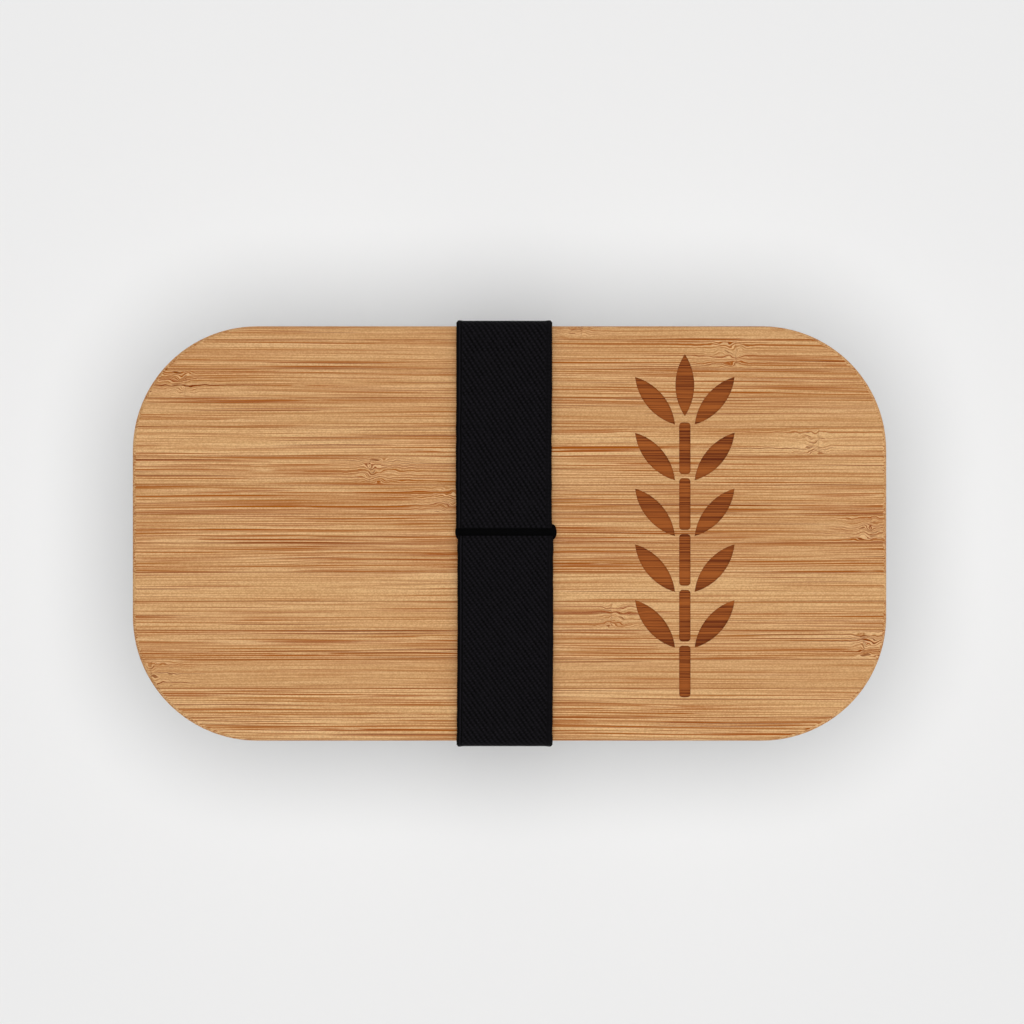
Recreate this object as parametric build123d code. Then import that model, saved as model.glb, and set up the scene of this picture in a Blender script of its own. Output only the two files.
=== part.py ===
from build123d import *
from math import asin, atan, degrees, hypot, pi, tan
import os

# A lunch box: a drawn steel tub, a lid glued up from bamboo slats, a loose divider, and an
# elastic band round the middle. Millimetres. +X runs along the box, +Y across it, +Z up.
# The origin is on the surface that the box stands on, under the middle of the lid.
# Every outline is the lid's outline moved inwards by an inset.

# Elastic band
BAND_WIDTH = 25.2
BAND_THICK = 1.3
BAND_GAP = 0.2          # left between the band and what it goes round
BAND_X = -1.3           # the middle of the band, a little off the lid's middle
BAND_BEND = 2.0         # its bend where it leaves the lid's lower edge
SEAM_Y = 0.4
SEAM_SPAN = 4.2         # along the band, over both folded ends
SEAM_PROUD = (0.5, 1.2)     # how far the unstretched ends stick out past -X and +X
SEAM_ROUND = 0.5

# Steel tub
SHEET = 0.7
TUB_HEIGHT = 54.0
TUB_FOOT = BAND_THICK + BAND_GAP    # the tub stands on the band's lower run
RIM_TOP = TUB_FOOT + TUB_HEIGHT
RIM_INSET = 1.5
FLANGE = 3.0            # from the rim's edge in to the wall
LIP_HEIGHT = 2.4        # the flange's edge is turned down this far
LIP_ROUND = 1.1
MOUTH_ROUND = 0.5
DRAFT = 3.0             # how much further in the wall is at the foot than at the rim
FOOT_INSET = RIM_INSET + FLANGE + DRAFT
FOOT_ROUND = 9.0
LEAN = atan(DRAFT / TUB_HEIGHT)
FOOT_CENTRE_INSET = FOOT_INSET + FOOT_ROUND * tan(pi / 4 - LEAN / 2)

# Bamboo lid
LID_LENGTH = 200.0
LID_WIDTH = 110.0
LID_CORNER = 33.0
LID_BOARD = 9.5         # thickness of the board above the rim
LID_GAP = 0.2
LID_UNDER = RIM_TOP + LID_GAP
LID_TOP = LID_UNDER + LID_BOARD
TOP_ROUND = 1.2
UNDER_ROUND = 0.8
PLUG_DEPTH = 4.5        # the step that drops into the tub
PLUG_CLEARANCE = 1.5
PLUG_ROUND = 0.6
SLAT_WIDTH = 7.7
SLAT_COUNT = 15
FIRST_GLUE_LINE = 51.35     # Y of the joint nearest the +Y edge; the outer slats are part slats

# Silicone ring in the plug's groove
GROOVE_DEPTH = 1.6
GROOVE_HEIGHT = 2.2
GROOVE_LIFT = 1.2       # from the plug's underside
SEAL_CLEARANCE = 0.12   # from the tub's wall
SEAL_ROUND = 0.9

# Divider
DIVIDER_X = 25.0
DIVIDER_TOP = 48.5
DIVIDER_PLATE = 0.8
EDGING_THICK = 3.0
EDGING_DEPTH = 4.0
EDGING_SKIN = 1.2       # silicone between the plate's edge and the tub
EDGING_CLEARANCE = 0.3

# Engraved bamboo sprig
SPRIG_X = 46.5
SPRIG_Y = (-44.0, 30.0)     # the stem's foot and head
SPRIG_DEPTH = 0.25
INTERNODES = 5
NODE_GAP = 1.1
STEM_WIDTH = 3.0
STEM_ROUND = 0.9
LEAF_LENGTH = 16.5
LEAF_WIDTH = 5.0
LEAF_LEAN = 40          # degrees from the stem


def outline(inset, height):
    """The lid's outline moved in by inset, as a face at this height."""
    shape = RectangleRounded(LID_LENGTH - 2 * inset, LID_WIDTH - 2 * inset, LID_CORNER - inset)
    return Plane.XY.offset(height) * shape


def slab(inset, bottom, top):
    return extrude(outline(inset, bottom), top - bottom)


def lowest_edges(shape):
    return shape.faces().sort_by(Axis.Z)[0].edges()


def highest_edges(shape):
    return shape.faces().sort_by(Axis.Z)[-1].edges()


# ---- steel tub

def pot(inset, bottom, top, foot_round):
    """A block with the tub's leaning walls and a rounded foot."""
    block = extrude(outline(inset, bottom), top - bottom, taper=-degrees(LEAN))
    return fillet(lowest_edges(block), foot_round)


def wall_inset(height):
    """Inset of the tub's inner face at this height."""
    return FOOT_INSET + SHEET - (height - TUB_FOOT - SHEET) * tan(LEAN)


def steel_tub():
    skin = pot(FOOT_INSET, TUB_FOOT, RIM_TOP, FOOT_ROUND)
    hollow = pot(FOOT_INSET + SHEET, TUB_FOOT + SHEET, RIM_TOP, FOOT_ROUND - SHEET)
    rim = slab(RIM_INSET, RIM_TOP - LIP_HEIGHT, RIM_TOP)
    rim = fillet(highest_edges(rim), LIP_ROUND)
    under_flange = slab(RIM_INSET + SHEET, RIM_TOP - LIP_HEIGHT, RIM_TOP - SHEET)
    tub = skin + (rim - under_flange) - hollow
    mouth = tub.faces().sort_by(Axis.Z)[-1].inner_wires()[0].edges()
    return fillet(mouth, MOUTH_ROUND)


# ---- lid

PLUG_INSET = wall_inset(RIM_TOP) + PLUG_CLEARANCE
PLUG_UNDER = LID_UNDER - PLUG_DEPTH
GROOVE_UNDER = PLUG_UNDER + GROOVE_LIFT
GROOVE_TOP = GROOVE_UNDER + GROOVE_HEIGHT


def leaf(x, y, lean):
    """A pointed leaf that grows from x, y, leaning this many degrees from +Y towards -X."""
    middle = LEAF_LENGTH / 2
    right = ThreePointArc((0, 0), (LEAF_WIDTH / 2, middle), (0, LEAF_LENGTH))
    left = ThreePointArc((0, LEAF_LENGTH), (-LEAF_WIDTH / 2, middle), (0, 0))
    return Pos(x, y) * Rot(0, 0, lean) * make_face([right, left])


def sprig():
    """The engraved pattern: a jointed stem with a pair of leaves at each joint, and one on top."""
    foot, head = SPRIG_Y
    step = (head - foot) / INTERNODES
    internode = RectangleRounded(STEM_WIDTH, step - NODE_GAP, STEM_ROUND)
    shapes = [Pos(SPRIG_X, foot + step * (i + 0.5)) * internode for i in range(INTERNODES)]
    for i in range(1, INTERNODES + 1):
        for side in (-1, 1):
            x = SPRIG_X - side * (STEM_WIDTH / 2 + NODE_GAP)
            shapes.append(leaf(x, foot + step * i - NODE_GAP, side * LEAF_LEAN))
    shapes.append(leaf(SPRIG_X, head + NODE_GAP, 0))
    return shapes


def lid_board():
    """The whole lid as one block: board, plug, seal groove and engraving."""
    board = slab(0, LID_UNDER, LID_TOP)
    board = fillet(highest_edges(board), TOP_ROUND)
    board = fillet(lowest_edges(board), UNDER_ROUND)
    plug = slab(PLUG_INSET, PLUG_UNDER, LID_UNDER)
    plug = fillet(lowest_edges(plug), PLUG_ROUND)
    groove = slab(PLUG_INSET, GROOVE_UNDER, GROOVE_TOP)
    groove -= slab(PLUG_INSET + GROOVE_DEPTH, GROOVE_UNDER, GROOVE_TOP)
    lid = board + (plug - groove)
    floor = Plane.XY.offset(LID_TOP - SPRIG_DEPTH)
    for shape in sprig():
        lid -= extrude(floor * shape, 2 * SPRIG_DEPTH)
    return lid


def lid_slats(board):
    """The board sawn along its glue lines, from the +Y edge."""
    half = LID_WIDTH / 2
    joints = [FIRST_GLUE_LINE - SLAT_WIDTH * i for i in range(SLAT_COUNT - 1)]
    edges = [half, *joints, -half]
    slats = {}
    for i, (far, near) in enumerate(zip(edges, edges[1:])):
        cut = Pos(0, (far + near) / 2, LID_TOP / 2) * Box(LID_LENGTH, far - near, 2 * LID_TOP)
        slats[f"lid_slat_{i + 1:02d}"] = board & cut
    return slats


def lid_seal():
    outer = slab(wall_inset(GROOVE_UNDER) + SEAL_CLEARANCE, GROOVE_UNDER, GROOVE_TOP)
    outer = fillet(highest_edges(outer) + lowest_edges(outer), SEAL_ROUND)
    return outer - slab(PLUG_INSET + GROOVE_DEPTH, GROOVE_UNDER, GROOVE_TOP)


# ---- divider

def tub_section(clearance):
    """The tub's inside across its length, this far from the wall and floor."""
    floor = TUB_FOOT + SHEET + clearance
    low = LID_WIDTH / 2 - wall_inset(floor) - clearance
    high = LID_WIDTH / 2 - wall_inset(DIVIDER_TOP) - clearance
    face = Polygon((-low, floor), (low, floor), (high, DIVIDER_TOP), (-high, DIVIDER_TOP), align=None)
    corners = face.vertices().group_by(Axis.Y)[0]
    return Plane.YZ.offset(DIVIDER_X) * fillet(corners, FOOT_ROUND - SHEET - clearance)


def divider_plate():
    return extrude(tub_section(EDGING_CLEARANCE + EDGING_SKIN), DIVIDER_PLATE / 2, both=True)


def divider_edging(plate):
    """A silicone channel that wraps the plate's two sides and its lower edge."""
    outer = extrude(tub_section(EDGING_CLEARANCE), EDGING_THICK / 2, both=True)
    inner = extrude(tub_section(EDGING_CLEARANCE + EDGING_DEPTH), EDGING_THICK / 2, both=True)
    return outer - inner - plate


# ---- band

def band_section(gap):
    """What the stretched band encloses: flat over the lid, then straight from the lid's lower edge
    to the tub's rounded foot, and flat under it."""
    side = LID_WIDTH / 2 + gap
    across = side - (LID_WIDTH / 2 - FOOT_CENTRE_INSET)
    down = LID_UNDER - (TUB_FOOT + FOOT_ROUND)
    lean = atan(across / down) - asin((FOOT_ROUND + gap) / hypot(across, down))
    under = TUB_FOOT - gap
    foot = side - (LID_UNDER - under) * tan(lean)
    right = [(foot, under), (side, LID_UNDER), (side, LID_TOP + gap)]
    left = [(-y, z) for y, z in reversed(right)]
    bends = [FOOT_ROUND, BAND_BEND, TOP_ROUND]
    radii = [bend + gap for bend in bends + bends[::-1]]
    loop = FilletPolyline(*right, *left, radius=radii, close=True)
    return Plane.YZ.offset(BAND_X) * make_face(loop)


def elastic_band():
    ring = band_section(BAND_GAP + BAND_THICK) - band_section(BAND_GAP)
    band = extrude(ring, BAND_WIDTH / 2, both=True)
    return band - Pos(BAND_X, SEAM_Y, LID_TOP) * Box(BAND_WIDTH, SEAM_SPAN, 4 * BAND_THICK)


def band_seam():
    """The band's two folded ends, sewn together, which fill the gap between its ends."""
    low = BAND_X - BAND_WIDTH / 2 - SEAM_PROUD[0]
    high = BAND_X + BAND_WIDTH / 2 + SEAM_PROUD[1]
    middle = Pos((low + high) / 2, SEAM_Y, LID_TOP + BAND_GAP + BAND_THICK / 2)
    bar = middle * Box(high - low, SEAM_SPAN, BAND_THICK)
    bar = fillet(bar.edges().filter_by(Axis.Z), 3 * SEAM_ROUND)
    return fillet(highest_edges(bar), SEAM_ROUND)


def main():
    plate = divider_plate()
    nodes = {
        "steel_tub": steel_tub(),
        **lid_slats(lid_board()),
        "lid_seal": lid_seal(),
        "divider_plate": plate,
        "divider_edging": divider_edging(plate),
        "elastic_band": elastic_band(),
        "band_seam": band_seam(),
    }
    os.makedirs("parts", exist_ok=True)
    for name, shape in nodes.items():
        export_step(shape, f"parts/{name}.step")


main()
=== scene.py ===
import math

import bpy
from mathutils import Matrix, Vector, noise


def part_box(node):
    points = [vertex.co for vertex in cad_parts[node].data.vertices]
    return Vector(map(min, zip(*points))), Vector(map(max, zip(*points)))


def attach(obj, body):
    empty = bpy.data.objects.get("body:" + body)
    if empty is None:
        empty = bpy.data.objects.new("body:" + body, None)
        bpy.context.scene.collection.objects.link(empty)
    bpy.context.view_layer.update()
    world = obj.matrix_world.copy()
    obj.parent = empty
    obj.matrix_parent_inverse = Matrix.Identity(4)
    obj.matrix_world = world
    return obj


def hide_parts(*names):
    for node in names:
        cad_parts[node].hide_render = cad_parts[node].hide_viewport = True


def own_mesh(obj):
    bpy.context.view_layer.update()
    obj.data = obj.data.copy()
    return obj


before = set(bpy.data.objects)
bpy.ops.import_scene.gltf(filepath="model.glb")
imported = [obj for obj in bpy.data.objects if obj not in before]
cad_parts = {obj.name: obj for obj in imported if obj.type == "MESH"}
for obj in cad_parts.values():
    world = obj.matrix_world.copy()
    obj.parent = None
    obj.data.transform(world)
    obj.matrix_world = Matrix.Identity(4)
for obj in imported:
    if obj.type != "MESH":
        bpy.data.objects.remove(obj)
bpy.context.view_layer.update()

# The closed lunch box seen from straight above: bamboo lid, black woven band, steel tub.
# Blender works in metres. Lengths here are in millimetres, and MM turns them into metres.
MM = 0.001


def millimetres(node):
    """A CAD node's lowest and highest corner, in millimetres."""
    return tuple(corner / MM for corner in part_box(node))


# ---- sizes, from the frame where it holds them

BAND_LOW, BAND_HIGH = millimetres("elastic_band")
SEAM_LOW, SEAM_HIGH = millimetres("band_seam")
TUB_LOW, TUB_HIGH = millimetres("steel_tub")
SEAL_LOW, SEAL_HIGH = millimetres("lid_seal")
EDGE_SLAT_LOW, EDGE_SLAT_HIGH = millimetres("lid_slat_01")
SLAT_LOW, SLAT_HIGH = millimetres("lid_slat_08")
LID_TOP = SLAT_HIGH.z
LID_UNDER = EDGE_SLAT_LOW.z
LID_LENGTH = SLAT_HIGH.x - SLAT_LOW.x
LID_WIDTH = 2 * EDGE_SLAT_HIGH.y
LID_CORNER = 33.0
FIRST_GLUE_LINE = EDGE_SLAT_LOW.y
SLAT_WIDTH = SLAT_HIGH.y - SLAT_LOW.y

# The photograph's framing: how much the picture spans at the lid's height, and what it centres on
VIEW_WIDTH = 271.6
VIEW_CENTRE = (0.66, 5.7)
LENS = 200.0
SENSOR = 36.0

# Steel tub
SHEET = 0.7
RIM_INSET = (LID_LENGTH - (TUB_HIGH.x - TUB_LOW.x)) / 2
FLANGE = 3.0
DRAFT = 3.0
LIP_HEIGHT = 2.4
FOOT_ROUND = 9.0
LEAN = math.atan(DRAFT / (TUB_HIGH.z - TUB_LOW.z))
CORNER_STEPS = 40

# Elastic band
BAND_THICK = 1.2
CORD = 0.14             # how proud the thick cord along each edge stands
BAND_HALF = (BAND_HIGH.x - BAND_LOW.x) / 2
BAND_ACROSS = 60        # columns across its outer face
TWILL_PITCH = 1.37      # from one slanted rib to the next, across the band
STITCH = 0.64           # from one row of stitches to the next, where the band is least stretched
STRETCH = 0.075         # how much wider the rows stand half way round; twice that at the far end
SELVEDGE = 1.7
CREASE = 0.75           # half the width of the open crease at the seam
FLAT_PLACE = "flat_place"

# Knuckles in the bamboo: slat number, counted from the +Y edge, and where along the lid
KNUCKLES = {1: 19, 2: 60, 3: -86, 5: 82, 6: -37, 7: -14, 8: 96, 11: 27, 12: 94, 13: -95}
# The stretch of the lid that holds the engraving
ENGRAVED_X = (30, 62)
ENGRAVED_Y = 50


# ---- shader graphs

def srgb(red, green, blue, alpha=1.0):
    """A colour as shown on screen, 0 to 255, as the linear colour that shaders use."""
    def linear(value):
        share = value / 255
        return share / 12.92 if share <= 0.04045 else ((share + 0.055) / 1.055) ** 2.4
    return (linear(red), linear(green), linear(blue), alpha)


class Graph:
    """A material's node tree, with a short call for each kind of node used here."""

    def __init__(self, name):
        self.material = bpy.data.materials.new(name)
        self.material.use_nodes = True
        self.tree = self.material.node_tree
        self.shader = self.tree.nodes["Principled BSDF"]

    def feed(self, socket, value):
        if isinstance(value, bpy.types.NodeSocket):
            self.tree.links.new(value, socket)
        else:
            socket.default_value = value

    def node(self, kind, inputs=None, **settings):
        made = self.tree.nodes.new("ShaderNode" + kind)
        for key, value in settings.items():
            setattr(made, key, value)
        for key, value in (inputs or {}).items():
            self.feed(made.inputs[key], value)
        return made

    def math(self, operation, *values):
        made = self.node("Math", operation=operation)
        for socket, value in zip(made.inputs, values):
            self.feed(socket, value)
        return made.outputs[0]

    def add(self, *values):
        total = values[0]
        for value in values[1:]:
            total = self.math("ADD", total, value)
        return total

    def times(self, *values):
        product = values[0]
        for value in values[1:]:
            product = self.math("MULTIPLY", product, value)
        return product

    def ramp(self, value, low, high, to_low=0.0, to_high=1.0):
        """value eased from to_low at low to to_high at high."""
        made = self.node("MapRange", interpolation_type="SMOOTHSTEP")
        for socket, given in zip(made.inputs, (value, low, high, to_low, to_high)):
            self.feed(socket, given)
        return made.outputs[0]

    def blend(self, share, a, b):
        made = self.node("Mix", {0: share, 6: a, 7: b}, data_type="RGBA")
        return made.outputs[2]

    def vector(self, x, y, z):
        return self.node("CombineXYZ", {0: x, 1: y, 2: z}).outputs[0]

    def place(self):
        """The point's x, y and z in the row frame, in millimetres."""
        where = self.node("TexCoord").outputs["Object"]
        scaled = self.node("VectorMath", {0: where, "Scale": 1 / MM}, operation="SCALE")
        return self.node("SeparateXYZ", {0: scaled.outputs[0]}).outputs[:3]

    def noise(self, x, y, z, detail=2.0, roughness=0.5):
        made = self.node("TexNoise", {"Vector": self.vector(x, y, z), "Scale": 1.0,
                                      "Detail": detail, "Roughness": roughness})
        return made.outputs[0]

    def random(self, value):
        made = self.node("TexWhiteNoise", {"W": value}, noise_dimensions="1D")
        return made.outputs["Value"]

    def bump(self, height, distance, strength=1.0):
        made = self.node("Bump", {"Height": height, "Distance": distance, "Strength": strength})
        self.feed(self.shader.inputs["Normal"], made.outputs[0])

    def set(self, **values):
        for key, value in values.items():
            self.feed(self.shader.inputs[key.replace("_", " ")], value)
        return self.material


# ---- materials

def fibres(g, x, y, z, seed, length, pitch, thick):
    """Bamboo's fibre bundles: long thin spindles along X, which a cut along the grain shows as tapered
    dashes and a cut across it as dots. Gives 1 inside one, and 1 in the pale sheath beside it."""
    at = g.vector(g.add(g.times(x, 1 / length), seed), g.times(y, 1 / pitch), g.times(z, 0.85 / pitch))
    cell = g.node("TexVoronoi", {"Vector": at, "Scale": 1.0, "Randomness": 1.0})
    chance = g.node("SeparateColor", {0: cell.outputs["Color"]}).outputs[0]
    distance = cell.outputs["Distance"]
    radius = g.times(thick, g.add(0.3, g.times(chance, 0.9)))
    core = g.ramp(distance, radius, g.times(radius, 0.8))
    sheath = g.ramp(distance, g.times(radius, 2.0), g.times(radius, 1.1))
    return g.times(core, g.add(0.5, g.times(chance, 0.5))), g.math("SUBTRACT", sheath, core)


def bamboo():
    g = Graph("bamboo")
    x, y, z = g.place()
    strip = g.times(g.math("SUBTRACT", FIRST_GLUE_LINE, y), 1 / SLAT_WIDTH)
    slat = g.math("FLOOR", strip)
    across = g.math("FRACT", strip)
    seed = g.times(slat, 3.71)
    tone = g.random(g.add(slat, 0.5))
    flip = g.math("GREATER_THAN", g.random(g.add(slat, 20.5)), 0.5)
    skin = g.math("ABSOLUTE", g.math("SUBTRACT", flip, across))

    # the slat's knuckle: along is the distance from it, and swirl is 1 at it and fades away
    knuckle_x = 10 * LID_LENGTH
    for number, at in KNUCKLES.items():
        here = g.math("COMPARE", slat, number - 2, 0.1)
        knuckle_x = g.add(knuckle_x, g.times(here, at - 10 * LID_LENGTH))
    along = g.math("SUBTRACT", x, knuckle_x)
    inside = g.times(g.ramp(across, 0.0, 0.15), g.ramp(across, 1.0, 0.85))
    side = g.times(along, g.ramp(flip, 0.0, 1.0, -1.0, 1.0))
    swirl = g.times(g.math("EXPONENT", g.times(g.math("ABSOLUTE", along), -1 / 6.0)), inside,
                    g.ramp(side, -5.0, 1.0, 0.3, 1.0))

    # fibres drift together, and bend apart at the knuckle
    lean = g.times(x, g.add(g.random(g.add(slat, 40.5)), -0.5), 0.016)
    drift = g.times(g.add(g.noise(g.times(x, 1 / 60), seed, 0.5, 1.0), -0.5), 1.1)
    bend = g.add(g.noise(g.add(g.times(x, 1 / 3.2), seed), g.times(y, 1 / 2.2), seed, 1.0), -0.5)
    bent = g.add(y, lean, drift, g.times(bend, swirl, 4.5))

    cloud = g.noise(g.add(g.times(x, 1 / 60), seed), g.times(bent, 1 / 4.0), g.times(z, 1 / 4.0), 1.0)
    rich = g.random(g.add(slat, 60.5))
    patch = g.noise(g.add(g.times(x, 1 / 70), seed), g.times(bent, 1 / 2.2), g.times(z, 1 / 2.2), 1.0)
    busy = g.ramp(g.add(g.times(rich, 0.3), g.times(patch, 0.7)), 0.3, 0.65, 0.4, 1.0)
    dense = g.add(0.5, g.times(rich, 0.35), g.times(skin, 0.4), g.times(cloud, 0.2), g.times(swirl, 0.3))
    bold, bold_sheath = fibres(g, x, bent, z, seed, 110.0, 0.5, g.times(dense, 0.19))
    fine, fine_sheath = fibres(g, x, bent, z, g.add(seed, 31.3), 80.0, 0.33, g.times(dense, 0.25))
    faint, faint_sheath = fibres(g, x, bent, z, g.add(seed, 83.1), 40.0, 0.27, g.times(dense, 0.31))
    short, short_sheath = fibres(g, x, bent, z, g.add(seed, 67.9), 4.5, 0.6, g.times(swirl, 0.44))
    fade = g.noise(g.add(g.times(x, 1 / 14), seed), g.times(bent, 1 / 0.8), g.times(z, 1 / 0.8), 1.0)
    thread = g.noise(g.add(g.times(x, 1 / 80), seed), g.times(bent, 1 / 0.24), g.times(z, 1 / 0.24), 0.0)
    line = g.times(g.ramp(thread, 0.58, 0.66), g.ramp(fade, 0.2, 0.45))
    streak = g.noise(g.times(x, 1 / 40), g.times(bent, 1 / 0.25), g.times(z, 1 / 0.25), 0.0)
    mottle = g.noise(g.times(x, 2.2), g.times(y, 3.0), g.times(z, 3.0), 0.0)
    crack_at = g.add(along, g.times(g.add(g.noise(seed, g.times(y, 1 / 1.5), 0.0), -0.5), 1.6))
    crack = g.times(g.ramp(g.math("ABSOLUTE", crack_at), 0.25, 0.08), inside)
    edge = g.times(g.math("MINIMUM", across, g.math("SUBTRACT", 1.0, across)), SLAT_WIDTH)
    joint = g.times(g.ramp(edge, 0.2, 0.06), g.ramp(fade, 0.2, 0.45))

    colour = g.blend(g.ramp(g.add(g.times(tone, 0.7), g.times(cloud, 0.3)), 0.2, 0.85),
                     srgb(217, 174, 121), srgb(203, 157, 106))
    colour = g.blend(g.times(g.ramp(streak, 0.5, 0.72), busy, 0.9), colour, srgb(166, 102, 44))
    colour = g.blend(g.times(g.ramp(streak, 0.5, 0.28), busy, 0.7), colour, srgb(228, 185, 134))
    colour = g.blend(g.times(g.ramp(mottle, 0.3, 0.7), 0.3), colour, srgb(150, 96, 44))
    sheath = g.math("MAXIMUM", bold_sheath, g.math("MAXIMUM", fine_sheath, faint_sheath))
    colour = g.blend(g.times(sheath, 0.35), colour, srgb(226, 182, 132))
    colour = g.blend(g.times(short_sheath, 0.35), colour, srgb(228, 184, 130))
    colour = g.blend(g.times(line, busy), colour, srgb(156, 82, 16))
    colour = g.blend(g.times(faint, busy), colour, srgb(150, 72, 8))
    colour = g.blend(fine, colour, srgb(138, 58, 2))
    colour = g.blend(bold, colour, srgb(118, 44, 0))
    colour = g.blend(g.times(g.math("MAXIMUM", short, g.times(crack, 0.3)), 0.8), colour, srgb(124, 60, 14))
    colour = g.blend(g.times(joint, 0.7), colour, srgb(134, 64, 8))

    burnt = g.times(
        g.ramp(z, LID_TOP - 0.05, LID_TOP - 0.15),
        g.math("GREATER_THAN", z, LID_TOP - 0.4),
        g.math("GREATER_THAN", x, ENGRAVED_X[0]),
        g.math("LESS_THAN", x, ENGRAVED_X[1]),
        g.math("LESS_THAN", g.math("ABSOLUTE", y), ENGRAVED_Y),
    )
    char = g.add(g.times(streak, 0.9), g.times(bold, 0.5), g.times(fine, 0.35), g.times(cloud, 0.5))
    scorched = g.blend(g.ramp(char, 0.45, 1.1), srgb(158, 86, 34), srgb(88, 32, 8))
    colour = g.blend(burnt, colour, scorched)

    grain = g.add(g.times(streak, 0.3), g.times(bold, -0.5), g.times(fine, -0.35), g.times(short, -0.8),
                  g.times(mottle, 0.1))
    g.bump(grain, 0.06 * MM, 0.6)
    rough = g.add(0.58, g.times(streak, 0.12), g.times(burnt, 0.15))
    return g.set(Base_Color=colour, Roughness=rough, Specular_IOR_Level=0.12)


def woven_black():
    """Twill webbing. Each point carries where it is on the flat band, in millimetres across and along."""
    g = Graph("woven_black")
    flat = g.node("Attribute", attribute_name=FLAT_PLACE).outputs["Vector"]
    across, along, _ = g.node("SeparateXYZ", {0: flat}).outputs[:3]
    row = g.times(along, 2 * math.pi / STITCH)
    column = g.times(across, 2 * math.pi / TWILL_PITCH)
    rib = g.math("COSINE", g.add(g.times(row, 1 / 3), g.times(column, -1.0)))
    counter = g.math("COSINE", g.add(g.times(row, 2 / 3), column))
    wander = g.noise(g.times(across, 0.9), g.times(along, 0.9), 0.0, 1.0)
    twill = g.add(0.5, g.times(g.add(g.times(rib, 0.3), g.times(counter, 0.15), g.times(g.math("COSINE", row), 0.1)),
                               g.ramp(wander, 0.25, 0.65, 0.4, 1.25)))
    from_edge = g.math("SUBTRACT", BAND_HALF, g.math("ABSOLUTE", across))
    cords = g.math("COSINE", g.times(from_edge, 2 * math.pi / 0.85))
    picks = g.math("COSINE", g.times(row, 2.0))
    right = g.math("GREATER_THAN", across, 0.0)
    edging = g.add(0.5, g.times(cords, g.ramp(right, 0.0, 1.0, 0.4, 0.1)), g.times(picks, g.ramp(right, 0.0, 1.0, 0.1, 0.4)))
    selvedge = g.ramp(from_edge, SELVEDGE, SELVEDGE - 0.3)
    weave = g.add(g.times(twill, g.math("SUBTRACT", 1.0, selvedge)), g.times(edging, selvedge))
    fuzz = g.noise(g.times(across, 3.0), g.times(along, 3.0), 0.0, 2.0, 0.7)
    worn = g.noise(g.times(across, 0.3), g.times(along, 0.3), 0.0, 2.0)
    shade = g.add(g.times(weave, 1.1), g.times(fuzz, 0.7), g.times(worn, 0.3), -0.6)
    colour = g.blend(shade, srgb(0, 0, 0), srgb(23, 21, 25))
    g.bump(g.add(weave, g.times(fuzz, 0.3)), 0.25 * MM, 0.7)
    return g.set(Base_Color=colour, Roughness=0.95, Specular_IOR_Level=0.08)


def folded_black_painted_shade():
    """The tight rolled fold at the seam, with its fine threads along the band. Its black is darker than the band it
    is folded from: black fabric with painted shade of the crease it lies in.
    """
    g = Graph("folded_black_painted_shade")
    x, y, z = g.place()
    yarn = g.noise(g.times(x, 2.5), g.times(y, 0.8), g.times(z, 0.8), 2.0)
    g.bump(yarn, 0.04 * MM, 0.4)
    # near black, darker than the woven band's black: painted shade of the crease and the tucked ends
    return g.set(Base_Color=g.blend(yarn, srgb(0, 0, 0), srgb(4, 4, 5)), Roughness=0.9,
                 Specular_IOR_Level=0.05)


def satin_steel():
    """Steel with faint brushing: level lines on a wall, lines along X on a flat."""
    g = Graph("satin_steel")
    x, y, z = g.place()
    facing = g.node("SeparateXYZ", {0: g.node("NewGeometry").outputs["Normal"]}).outputs[2]
    flat = g.ramp(g.math("ABSOLUTE", facing), 0.6, 0.9)
    on_wall = g.noise(g.times(x, 1 / 22), g.times(y, 1 / 22), g.times(z, 5.0), 3.0, 0.7)
    on_flat = g.noise(g.times(x, 1 / 22), g.times(y, 5.0), 0.0, 3.0, 0.7)
    brushed = g.add(on_wall, g.times(flat, g.math("SUBTRACT", on_flat, on_wall)))
    line = g.ramp(brushed, 0.3, 0.7)
    cloud = g.noise(g.times(x, 1 / 35), g.times(y, 1 / 35), g.times(z, 1 / 35), 2.0)
    colour = g.blend(line, srgb(190, 190, 189), srgb(207, 207, 205))
    rough = g.add(0.22, g.times(line, 0.08), g.times(cloud, 0.06))
    g.bump(brushed, 0.03 * MM, 0.15)
    return g.set(Base_Color=colour, Metallic=1.0, Roughness=rough, Anisotropic=0.35)


def milky_silicone():
    g = Graph("milky_silicone")
    x, y, z = g.place()
    cloud = g.noise(g.times(x, 0.1), g.times(y, 0.1), g.times(z, 0.1), 3.0)
    g.bump(g.noise(x, y, z, 3.0), 0.02 * MM, 0.4)
    colour = g.blend(cloud, srgb(222, 223, 219), srgb(236, 237, 234))
    rough = g.ramp(cloud, 0.3, 0.7, 0.4, 0.55)
    return g.set(Base_Color=colour, Roughness=rough, Subsurface_Weight=0.4,
                 Subsurface_Radius=(2 * MM, 2 * MM, 1.8 * MM), Subsurface_Scale=1.0)


# ---- meshes

def new_piece(name, points, faces, material, body, smooth=True):
    """A mesh object from points in millimetres."""
    mesh = bpy.data.meshes.new(name)
    mesh.from_pydata([(x * MM, y * MM, z * MM) for x, y, z in points], [], faces)
    mesh.polygons.foreach_set("use_smooth", [smooth] * len(mesh.polygons))
    mesh.materials.append(material)
    mesh.update()
    piece = bpy.data.objects.new(name, mesh)
    bpy.context.scene.collection.objects.link(piece)
    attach(piece, body)
    return piece


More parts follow.
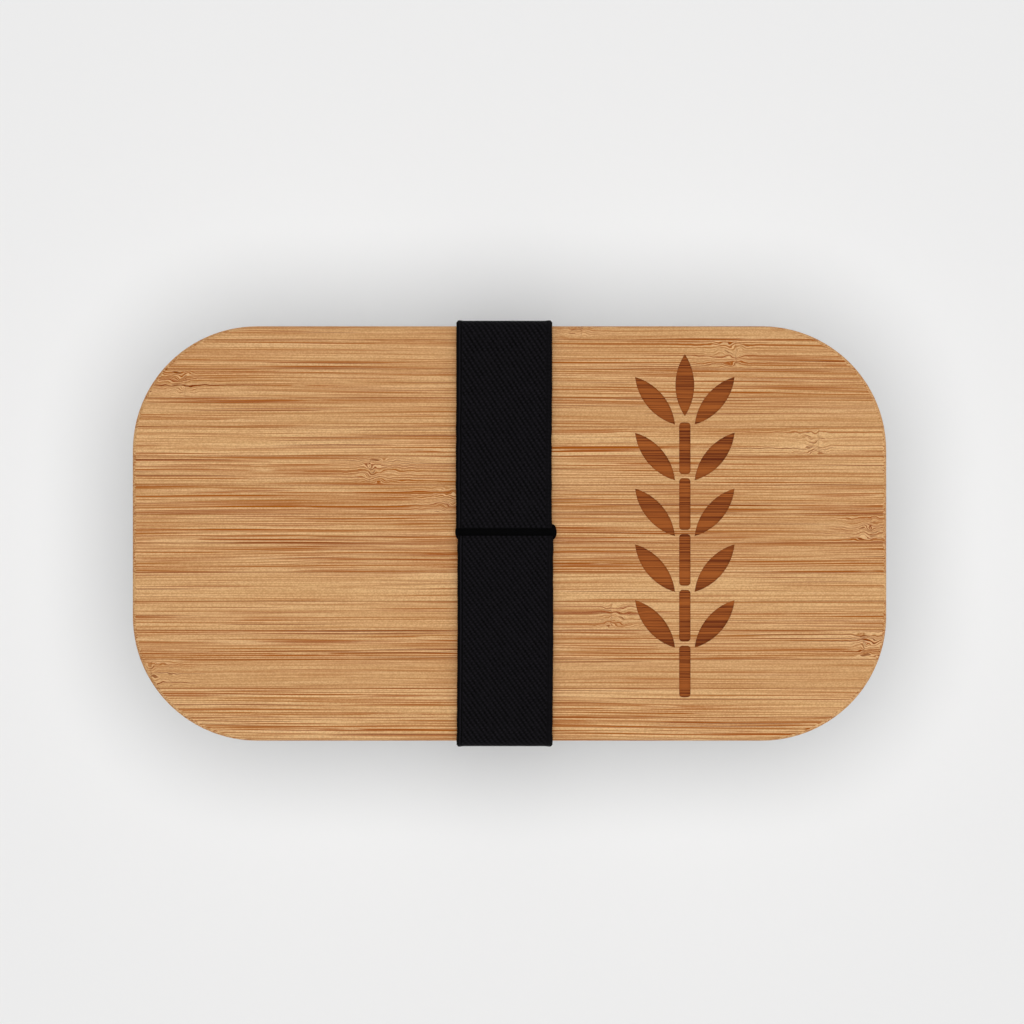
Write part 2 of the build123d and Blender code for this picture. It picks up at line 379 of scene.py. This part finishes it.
def lid_outline(inset):
    """Points round the lid's outline moved in by inset, the same number for every inset."""
    radius = LID_CORNER - inset
    reach_x = LID_LENGTH / 2 - LID_CORNER
    reach_y = LID_WIDTH / 2 - LID_CORNER
    ring = []
    for quarter, (sx, sy) in enumerate(((1, 1), (-1, 1), (-1, -1), (1, -1))):
        for step in range(CORNER_STEPS + 1):
            angle = math.pi / 2 * (quarter + step / CORNER_STEPS)
            ring.append((sx * reach_x + radius * math.cos(angle), sy * reach_y + radius * math.sin(angle)))
    return ring


def swept_ring(profile):
    """Points and faces of a closed profile of (inset, z) taken round the lid's outline."""
    points = [(x, y, z) for inset, z in profile for x, y in lid_outline(inset)]
    around = len(lid_outline(0))
    faces = []
    for row in range(len(profile) - 1):
        for i in range(around):
            j = (i + 1) % around
            faces.append((row * around + i, row * around + j, (row + 1) * around + j, (row + 1) * around + i))
    return points, faces


def arc(inset, z, radius, start, end, steps=8):
    """Points of a profile's arc. At 0 degrees the point is at a larger inset than the centre, at 90 above it."""
    turn = [math.radians(start + (end - start) * step / steps) for step in range(steps + 1)]
    return [(inset + radius * math.cos(a), z + radius * math.sin(a)) for a in turn]


def steel_tub():
    """The drawn tub as one sheet: wall, rounded foot, flange and turned-down lip."""
    foot, rim = TUB_LOW.z, TUB_HIGH.z
    foot_inset = RIM_INSET + FLANGE + DRAFT
    centre = foot_inset + FOOT_ROUND * math.tan(math.pi / 4 - LEAN / 2)
    lean = math.degrees(LEAN)
    half = SHEET / 2
    neck = RIM_INSET + FLANGE       # where the wall meets the flange
    outside = [
        *arc(centre, foot + FOOT_ROUND, FOOT_ROUND, 270, 180 - lean, 14),
        *arc(neck - 1.1, rim - SHEET - 1.2, 1.2, 0, 90, 6),
        *arc(RIM_INSET + SHEET + 0.5, rim - SHEET - 0.5, 0.5, 90, 180, 5),
        *arc(RIM_INSET + half, rim - LIP_HEIGHT + half, half, 360, 180, 6),
        *arc(RIM_INSET + 1.1, rim - 1.1, 1.1, 180, 90, 8),
    ]
    inside = [
        *arc(neck + half - 0.2, rim - 0.9, 0.9, 90, 0, 6),
        *arc(centre, foot + FOOT_ROUND, FOOT_ROUND - SHEET, 180 - lean, 270, 14),
    ]
    profile = outside + inside
    points, faces = swept_ring(profile)
    around = len(lid_outline(0))
    faces.append(tuple(reversed(range(around))))
    faces.append(tuple(range(len(points) - around, len(points))))
    piece = new_piece("drawn_steel_tub", points, faces, STEEL, "tub")
    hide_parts("steel_tub")


def sealing_ring():
    """The lid's silicone ring: a flat root in the groove and two soft lips towards the tub's wall."""
    root = RIM_INSET + FLANGE + SHEET + 1.5 + 1.6
    low, high = SEAL_LOW.z, SEAL_HIGH.z
    edge = LID_LENGTH / 2 - SEAL_HIGH.x
    neck = edge + 1.1
    lip = (high - low) / 4
    profile = [
        (root, low),
        (neck, low),
        *arc(edge + lip * 0.8, low + lip, lip * 0.8, 270, 90, 6),
        (neck, (low + high) / 2),
        *arc(edge + lip * 0.8, high - lip, lip * 0.8, 270, 90, 6),
        (neck, high),
        (root, high),
        (root, low),
    ]
    points, faces = swept_ring(profile)
    piece = new_piece("sealing_ring", points, faces, SILICONE, "lid")
    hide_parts("lid_seal")


# ---- the woven band

def outer_hull():
    """The band's outer outline in the YZ plane, counterclockwise, as the CAD band's own hull."""
    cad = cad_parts["elastic_band"].data.vertices
    dots = sorted({(round(v.co.y / MM, 4), round(v.co.z / MM, 4)) for v in cad})

    def half(points):
        chain = []
        for p in points:
            while len(chain) > 1 and cross(chain[-2], chain[-1], p) <= 0:
                chain.pop()
            chain.append(p)
        return chain[:-1]

    def cross(o, a, b):
        return (a[0] - o[0]) * (b[1] - o[1]) - (a[1] - o[1]) * (b[0] - o[0])

    return half(dots) + half(dots[::-1])


def band_stations():
    """Evenly spaced points round the band from one side of the crease to the other, each with its
    outward normal and its distance from the seam's middle, both ways."""
    hull = outer_hull()
    seam = (SEAM_LOW.y + SEAM_HIGH.y) / 2
    top = [p for p in hull if abs(p[1] - BAND_HIGH.z) < 0.01]
    start = hull.index(min(top))
    loop = [(seam, BAND_HIGH.z), *hull[start:], *hull[:start], (seam, BAND_HIGH.z)]
    lengths = [math.dist(a, b) for a, b in zip(loop, loop[1:])]
    total = sum(lengths)
    count = 2 * round(total / STITCH)
    dots = []
    leg, passed = 0, 0.0
    for i in range(count + 1):
        target = total * i / count
        while leg < len(lengths) - 1 and passed + lengths[leg] < target:
            passed += lengths[leg]
            leg += 1
        share = (target - passed) / lengths[leg]
        a, b = loop[leg], loop[leg + 1]
        dots.append((a[0] + (b[0] - a[0]) * share, a[1] + (b[1] - a[1]) * share))
    reach = 5
    ring = dots[:-1]
    eased = []
    for i in range(count):
        near = [ring[(i + k) % count] for k in range(-reach, reach + 1)]
        eased.append(Vector((0, sum(p[0] for p in near), sum(p[1] for p in near))) / len(near))
    stations = []
    for i in range(count):
        ahead, behind = eased[(i + 1) % count], eased[i - 1]
        tangent = (ahead - behind).normalized()
        normal = Vector((0, tangent.z, -tangent.y))
        stations.append((eased[i], normal, total * i / count))
    return stations, total


def band_height(from_seam):
    """How far the band's face rises from its even run near the seam: a low hump, then a rounded lip that
    turns down into the crease."""
    hump = 0.35 * math.exp(-(((from_seam - 2.2) / 1.8) ** 2))
    lip = max(0.0, 1 - (from_seam - CREASE) / 0.7)
    return hump - 0.85 * (1 - math.sqrt(max(0.0, 1 - lip ** 2)))


def woven_band():
    stations, total = band_stations()
    middle = (BAND_HIGH.x + BAND_LOW.x) / 2
    outer = [2 * i / BAND_ACROSS - 1 for i in range(BAND_ACROSS + 1)]
    inner = [1 - i / 8 for i in range(1, 16)]
    points, flat, rows = [], [], 0
    for count, (at, normal, along) in enumerate(stations):
        from_seam = min(along, total - along)
        if from_seam < CREASE:
            continue
        side = -1 if along < total / 2 else 1
        slack = along / (1 + STRETCH * along / total)
        height = band_height(from_seam) + CORD * min(0.0, normal.z)
        sway = 0.25 * noise.noise(Vector((along / 30.0, 7.7, 0))) - 0.2 * side * math.exp(-from_seam / 30)
        notch = 0.05 if count % 2 else -0.05
        wide = BAND_HALF + 0.1 + notch + 0.1 * noise.noise(Vector((along / 3.0, 0, 9.1)))
        for u in outer:
            from_edge = (1 - abs(u)) * BAND_HALF
            cord = CORD * math.exp(-(((from_edge - 0.8) / 0.6) ** 2))
            turned = 0.5 * (1 - math.sqrt(max(0.0, 1 - max(0.0, 1 - from_edge / 0.55) ** 2)))
            x = middle + sway + u * wide
            points.append(Vector((x, at.y, at.z)) + normal * (height + cord - turned))
            flat.append((u * BAND_HALF, slack, 0))
        for u in inner:
            x = middle + sway + u * wide
            points.append(Vector((x, at.y, at.z)) + normal * (height - BAND_THICK + 0.35 * abs(u) ** 12))
            flat.append((u * BAND_HALF, slack, 0))
        rows += 1
    size = len(outer) + len(inner)
    faces = []
    for row in range(rows - 1):
        for i in range(size):
            j = (i + 1) % size
            faces.append((row * size + i, row * size + j, (row + 1) * size + j, (row + 1) * size + i))
    faces.append(tuple(reversed(range(size))))
    faces.append(tuple(range((rows - 1) * size, rows * size)))
    piece = new_piece("woven_band", points, faces, WOVEN, "band")
    place = piece.data.attributes.new(FLAT_PLACE, "FLOAT_VECTOR", "POINT")
    place.data.foreach_set("vector", [value for point in flat for value in point])
    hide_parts("elastic_band")
    return piece


def seam_fold():
    """The band's folded ends under the crease: a soft bar whose ends show past both edges."""
    middle_y = (SEAM_LOW.y + SEAM_HIGH.y) / 2
    half_y = (SEAM_HIGH.y - SEAM_LOW.y) / 2
    half_z = 0.7
    z = BAND_HIGH.z - 0.4 - half_z
    round_steps, columns = 28, 60
    points = []
    for i in range(columns + 1):
        turn = math.pi * i / columns
        share = (1 - math.cos(turn)) / 2
        x = SEAM_LOW.x + (SEAM_HIGH.x - SEAM_LOW.x) * share
        from_end = min(x - SEAM_LOW.x, SEAM_HIGH.x - x)
        swell = math.sqrt(max(0.0, 1 - max(0.0, 1 - from_end / 1.1) ** 2))
        for k in range(round_steps):
            a = 2 * math.pi * k / round_steps
            points.append((x, middle_y + half_y * swell * math.cos(a), z + half_z * swell * math.sin(a)))
    faces = []
    for row in range(columns):
        for k in range(round_steps):
            j = (k + 1) % round_steps
            faces.append((row * round_steps + k, (row + 1) * round_steps + k,
                          (row + 1) * round_steps + j, row * round_steps + j))
    # its material is black fabric darkened with painted shade of the crease
    piece = new_piece("seam_fold", points, faces, FOLDED_PAINTED_SHADE, "band")
    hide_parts("band_seam")
    return piece


def band():
    """The band and its seam, each with a mesh of its own."""
    woven = woven_band()
    fold = seam_fold()
    for piece in (woven, fold):
        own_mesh(piece)


# ---- CAD pieces that keep their shape

def dress_cad(prefix, material):
    for name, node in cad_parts.items():
        if name.startswith(prefix):
            node.data.materials.clear()
            node.data.materials.append(material)


# ---- surroundings

def floor():
    bpy.ops.mesh.primitive_plane_add(size=12, location=(0, 0, 0))
    plane = bpy.context.object
    plane.name = "floor"
    g = Graph("pale_floor")
    plane.data.materials.append(g.set(Base_Color=(0.86, 0.86, 0.86, 1), Roughness=0.9, Specular_IOR_Level=0.0))
    return plane


def lamp(name, kind, place, strength, lit, **settings):
    """A light that faces the box, for the surfaces in the collection lit."""
    light = bpy.data.lights.new(name, kind)
    light.energy = strength
    for key, value in settings.items():
        setattr(light, key, value)
    hung = bpy.data.objects.new(name, light)
    hung.location = place
    hung.rotation_mode = "QUATERNION"
    hung.rotation_quaternion = Vector(place).to_track_quat("Z", "Y")
    hung.light_linking.receiver_collection = lit
    bpy.context.scene.collection.objects.link(hung)


def light_group(name, ground, state):
    """The surfaces that a light reaches: the ground alone (INCLUDE), or all but it (EXCLUDE)."""
    group = bpy.data.collections.new(name)
    group.objects.link(ground)
    group.collection_objects[0].light_linking.link_state = state
    return group


def studio(ground):
    """Soft light from every side on the box. The ground is lit from above, which keeps the box's shadow
    soft and close round it."""
    world = bpy.data.worlds.new("studio")
    world.use_nodes = True
    background = world.node_tree.nodes["Background"]
    background.inputs["Color"].default_value = (1, 1, 1, 1)
    background.inputs["Strength"].default_value = 0.107
    bpy.context.scene.world = world
    bpy.context.scene.view_settings.view_transform = "Standard"
    on_ground = light_group("on_ground", ground, "INCLUDE")
    lamp("ground_sun", "SUN", (0, 0, 2), 0.3, on_ground, angle=math.radians(6))
    lamp("ground_disc", "AREA", (0, 0, 2.4), 52.5, on_ground, shape="DISK", size=2.1)
    on_box = light_group("on_box", ground, "EXCLUDE")
    lamp("box_top", "AREA", (0, 0, 1.3), 3.7, on_box, shape="DISK", size=0.9)
    for side, watts in enumerate((8.0, 6.7, 5.5, 6.7)):
        turn = math.pi / 2 * side
        lamp(f"box_side_{side}", "AREA", (1.1 * math.cos(turn), 1.1 * math.sin(turn), 0.75), watts, on_box, size=1.0)


def camera():
    data = bpy.data.cameras.new("camera")
    data.lens = LENS
    data.sensor_width = SENSOR
    data.clip_end = 20
    distance = VIEW_WIDTH * LENS / SENSOR
    eye = bpy.data.objects.new("camera", data)
    eye.location = (VIEW_CENTRE[0] * MM, VIEW_CENTRE[1] * MM, (LID_TOP + distance) * MM)
    bpy.context.scene.collection.objects.link(eye)
    bpy.context.scene.camera = eye


STEEL = satin_steel()
SILICONE = milky_silicone()
WOVEN = woven_black()
FOLDED_PAINTED_SHADE = folded_black_painted_shade()

dress_cad("lid_slat", bamboo())
dress_cad("divider_plate", STEEL)
dress_cad("divider_edging", SILICONE)
steel_tub()
sealing_ring()
band()
studio(floor())
camera()
